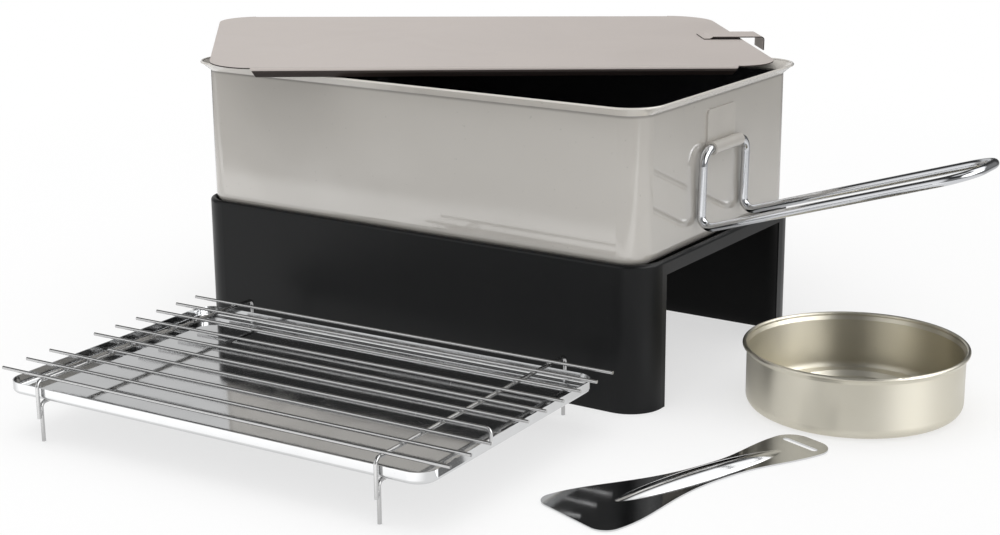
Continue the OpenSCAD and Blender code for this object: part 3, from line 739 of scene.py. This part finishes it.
def add_sky(stage):
    """White surroundings; in reflections a dim room with a pale backdrop and a few soft panels."""
    world = bpy.data.worlds.new("Studio")
    world.use_nodes = True
    bpy.context.scene.world = world
    world.node_tree.nodes.clear()
    s = Sheet(world.node_tree)
    path = s.node("ShaderNodeLightPath")
    way = s.node("ShaderNodeTexCoord").outputs["Generated"]
    height = s.split(way)["Z"]
    open_sky = s.math("MULTIPLY", s.spread(height, *SKY_BY_HEIGHT, smooth=True), stage.sky)
    # The backdrop and the low wall fade into the dark room over them
    backdrop = s.math("MULTIPLY", facing(s, way, *BACKDROP),
                      s.spread(height, *BACKDROP_BY_HEIGHT, smooth=True))
    wall = s.math("MULTIPLY", s.math("SUBTRACT", 1.0, facing(s, way, *WALL_GAP)),
                  s.spread(height, *WALL_BY_HEIGHT, smooth=True))
    room = s.math("ADD", stage.room, s.math("MAXIMUM", wall, backdrop))
    for direction, low, high, strength in PANELS:
        panel = s.math("MULTIPLY", facing(s, way, direction, low, high), strength)
        room = s.math("ADD", room, panel)
    room = s.math("MAXIMUM", room, s.spread(height, *GLOW_BY_HEIGHT, smooth=True))
    glossy = path.outputs["Is Glossy Ray"]
    seen = path.outputs["Is Camera Ray"]
    other = s.math("SUBTRACT", 1.0, s.math("MAXIMUM", glossy, seen))
    strength = s.math("ADD", s.math("MULTIPLY", glossy, room), s.math("MULTIPLY", other, open_sky))
    strength = s.math("ADD", strength, seen)
    light = s.node("ShaderNodeBackground", {"Color": WHITE, "Strength": strength})
    s.node("ShaderNodeOutputWorld", {"Surface": light.outputs["Background"]})


def add_camera(stage):
    """The camera, placed from the middle of the stand."""
    data = bpy.data.cameras.new("camera")
    data.lens = stage.lens
    data.sensor_width = SENSOR
    data.clip_start, data.clip_end = CAMERA_SEES
    camera = bpy.data.objects.new("camera", data)
    bpy.context.scene.collection.objects.link(camera)
    turn, fall, roll = (math.radians(angle) for angle in CAMERA_ANGLES)
    back = Vector((math.sin(turn) * math.cos(fall), -math.cos(turn) * math.cos(fall),
                   math.sin(fall)))
    right = Vector((math.cos(turn), math.sin(turn), 0.0))
    up = back.cross(right)
    right, up = (right * math.cos(roll) + up * math.sin(roll),
                 up * math.cos(roll) - right * math.sin(roll))
    stand = middle("stand")
    place = Vector((stand.x, stand.y, 0.0)) + CAMERA
    axes = Matrix((right, up, back)).transposed()
    camera.matrix_world = Matrix.Translation(place) @ axes.to_4x4()
    bpy.context.scene.camera = camera


def add_overhead(stage):
    """A large soft light over the set, which reflections don't show."""
    data = bpy.data.lights.new("overhead", "AREA")
    data.shape = "RECTANGLE"
    data.size, data.size_y = OVERHEAD_SIZE
    data.energy = stage.key
    light = bpy.data.objects.new("overhead", data)
    bpy.context.scene.collection.objects.link(light)
    light.location = OVERHEAD
    light.rotation_mode = "QUATERNION"
    light.rotation_quaternion = (-OVERHEAD).to_track_quat("-Z", "Y")
    light.visible_glossy = False


class SMOKER_OT_stage(bpy.types.Operator):
    """Adds the floor, the light and the camera"""

    bl_idname = "smoker.stage"
    bl_label = "Stage"

    def execute(self, context):
        stage = context.scene.smoker_stage
        context.scene.view_settings.view_transform = "Standard"
        add_floor(stage)
        add_sky(stage)
        add_camera(stage)
        add_overhead(stage)
        return {"FINISHED"}


class SMOKER_PT_panel(bpy.types.Panel):
    """Lists the set's pieces"""

    bl_label = "Smoker set"
    bl_idname = "SMOKER_PT_panel"
    bl_space_type = "VIEW_3D"
    bl_region_type = "UI"
    bl_category = "Smoker"

    def draw(self, context):
        for settings in SETTINGS:
            values = getattr(context.scene, settings)
            for key in values.__annotations__:
                self.layout.prop(values, key)
        for operator in OPERATORS:
            self.layout.operator(operator.bl_idname)


SETTINGS = {
    "smoker_coats": SmokerCoats,
    "smoker_metals": SmokerMetals,
    "smoker_sizes": SmokerSizes,
    "smoker_stage": SmokerStage,
}
OPERATORS = (SMOKER_OT_stand, SMOKER_OT_box, SMOKER_OT_handle, SMOKER_OT_lid, SMOKER_OT_rack,
             SMOKER_OT_tray, SMOKER_OT_tin, SMOKER_OT_lifter, SMOKER_OT_stage)


def register():
    for kind in (*SETTINGS.values(), *OPERATORS, SMOKER_PT_panel):
        bpy.utils.register_class(kind)
    for name, kind in SETTINGS.items():
        setattr(bpy.types.Scene, name, PointerProperty(type=kind))


def unregister():
    for name in SETTINGS:
        delattr(bpy.types.Scene, name)
    for kind in (SMOKER_PT_panel, *reversed(OPERATORS), *reversed(SETTINGS.values())):
        bpy.utils.unregister_class(kind)


def main():
    register()
    for operator in OPERATORS:
        group, name = operator.bl_idname.split(".")
        getattr(getattr(bpy.ops, group), name)()


if __name__ == "__main__":
    main()
